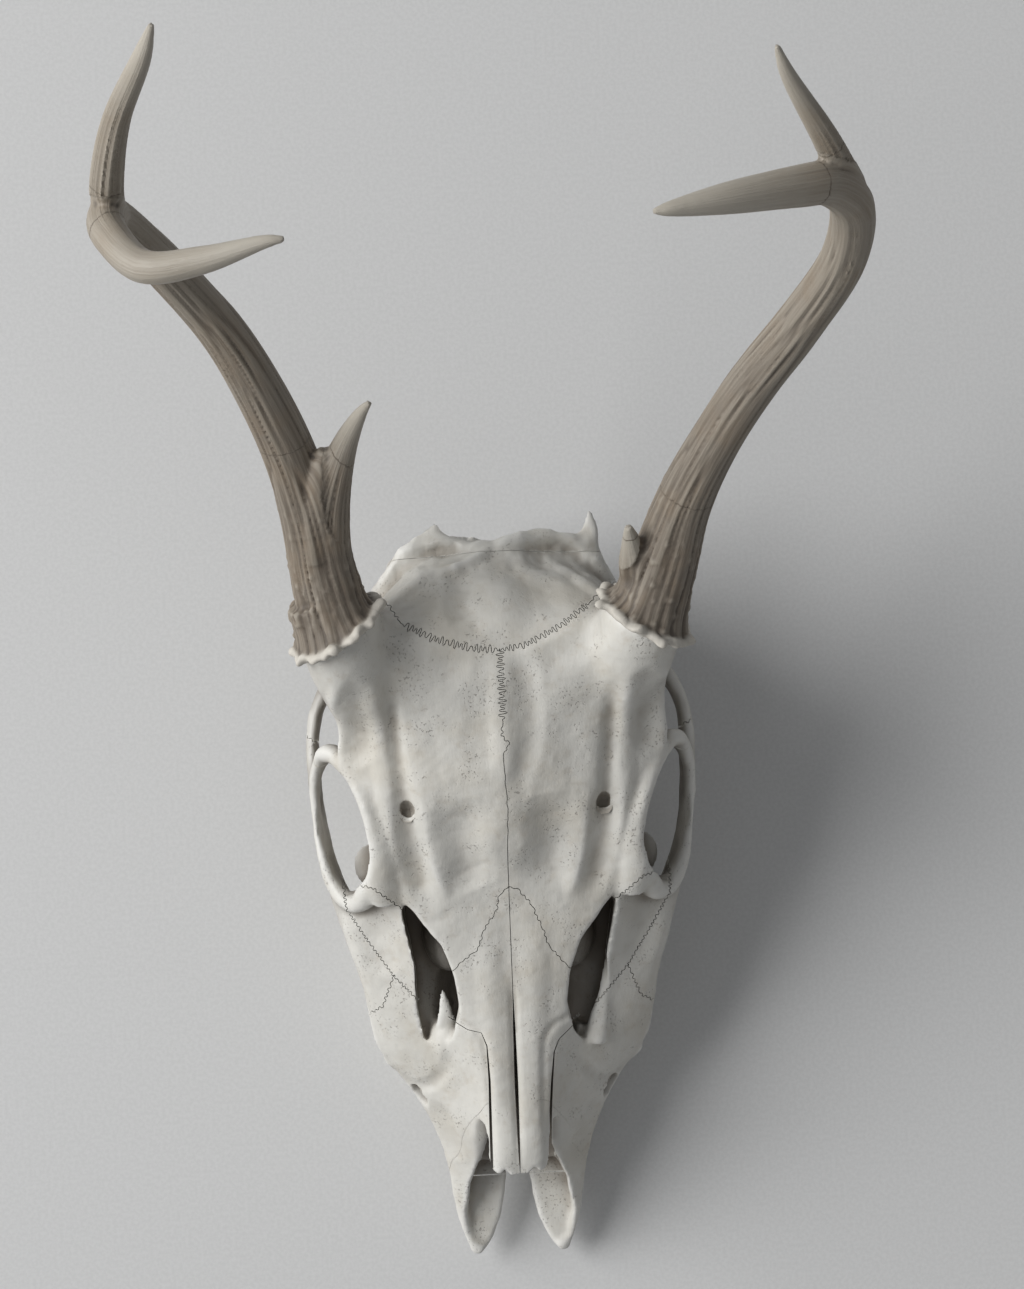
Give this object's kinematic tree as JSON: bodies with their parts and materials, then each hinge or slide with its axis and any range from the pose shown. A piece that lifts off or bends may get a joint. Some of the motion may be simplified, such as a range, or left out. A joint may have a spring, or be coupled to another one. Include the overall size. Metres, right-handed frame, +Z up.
{
  "type": "white-tailed deer skull",
  "caption": "Life-size skull of a young white-tailed buck with antlers and no lower jaw, lying on its cheek teeth, every bone its own piece parted at the sutures.",
  "frame": {"origin": "middle of the whole skull's box in plan, at the level that the teeth and paroccipital processes rest on", "axes": "+Z up, the muzzle points to -Y and the back of the head to +Y, +X is the deer's left side"},
  "size_m": [0.2154, 0.3547, 0.2774],
  "materials": {
    "bone": "dry ivory bone, worn smooth, with darker sutures and foramina",
    "antler_base": "dark grey-brown antler, grooved and pearled at the burr",
    "antler_beam": "grey-brown antler with long grooves",
    "antler_tine": "pale antler, rubbed smooth towards the tips"
  },
  "bodies": {
    "root": {"frontal_left": "bone", "lacrimal_left": "bone", "maxilla_left": "bone", "nasal_left": "bone", "premaxilla_left": "bone", "temporal_left": "bone", "zygomatic_left": "bone", "frontal_right": "bone", "lacrimal_right": "bone", "maxilla_right": "bone", "nasal_right": "bone", "premaxilla_right": "bone", "temporal_right": "bone", "zygomatic_right": "bone", "parietal": "bone", "occipital": "bone", "sphenoid_palatine": "bone", "antler_left_base": "antler_base", "antler_left_beam": "antler_beam", "antler_left_brow_tine": "antler_tine", "antler_left_rear_tine": "antler_tine", "antler_left_fore_tine": "antler_tine", "antler_right_base": "antler_base", "antler_right_beam": "antler_beam", "antler_right_brow_tine": "antler_tine", "antler_right_rear_tine": "antler_tine", "antler_right_fore_tine": "antler_tine"}
  },
  "joints": []
}
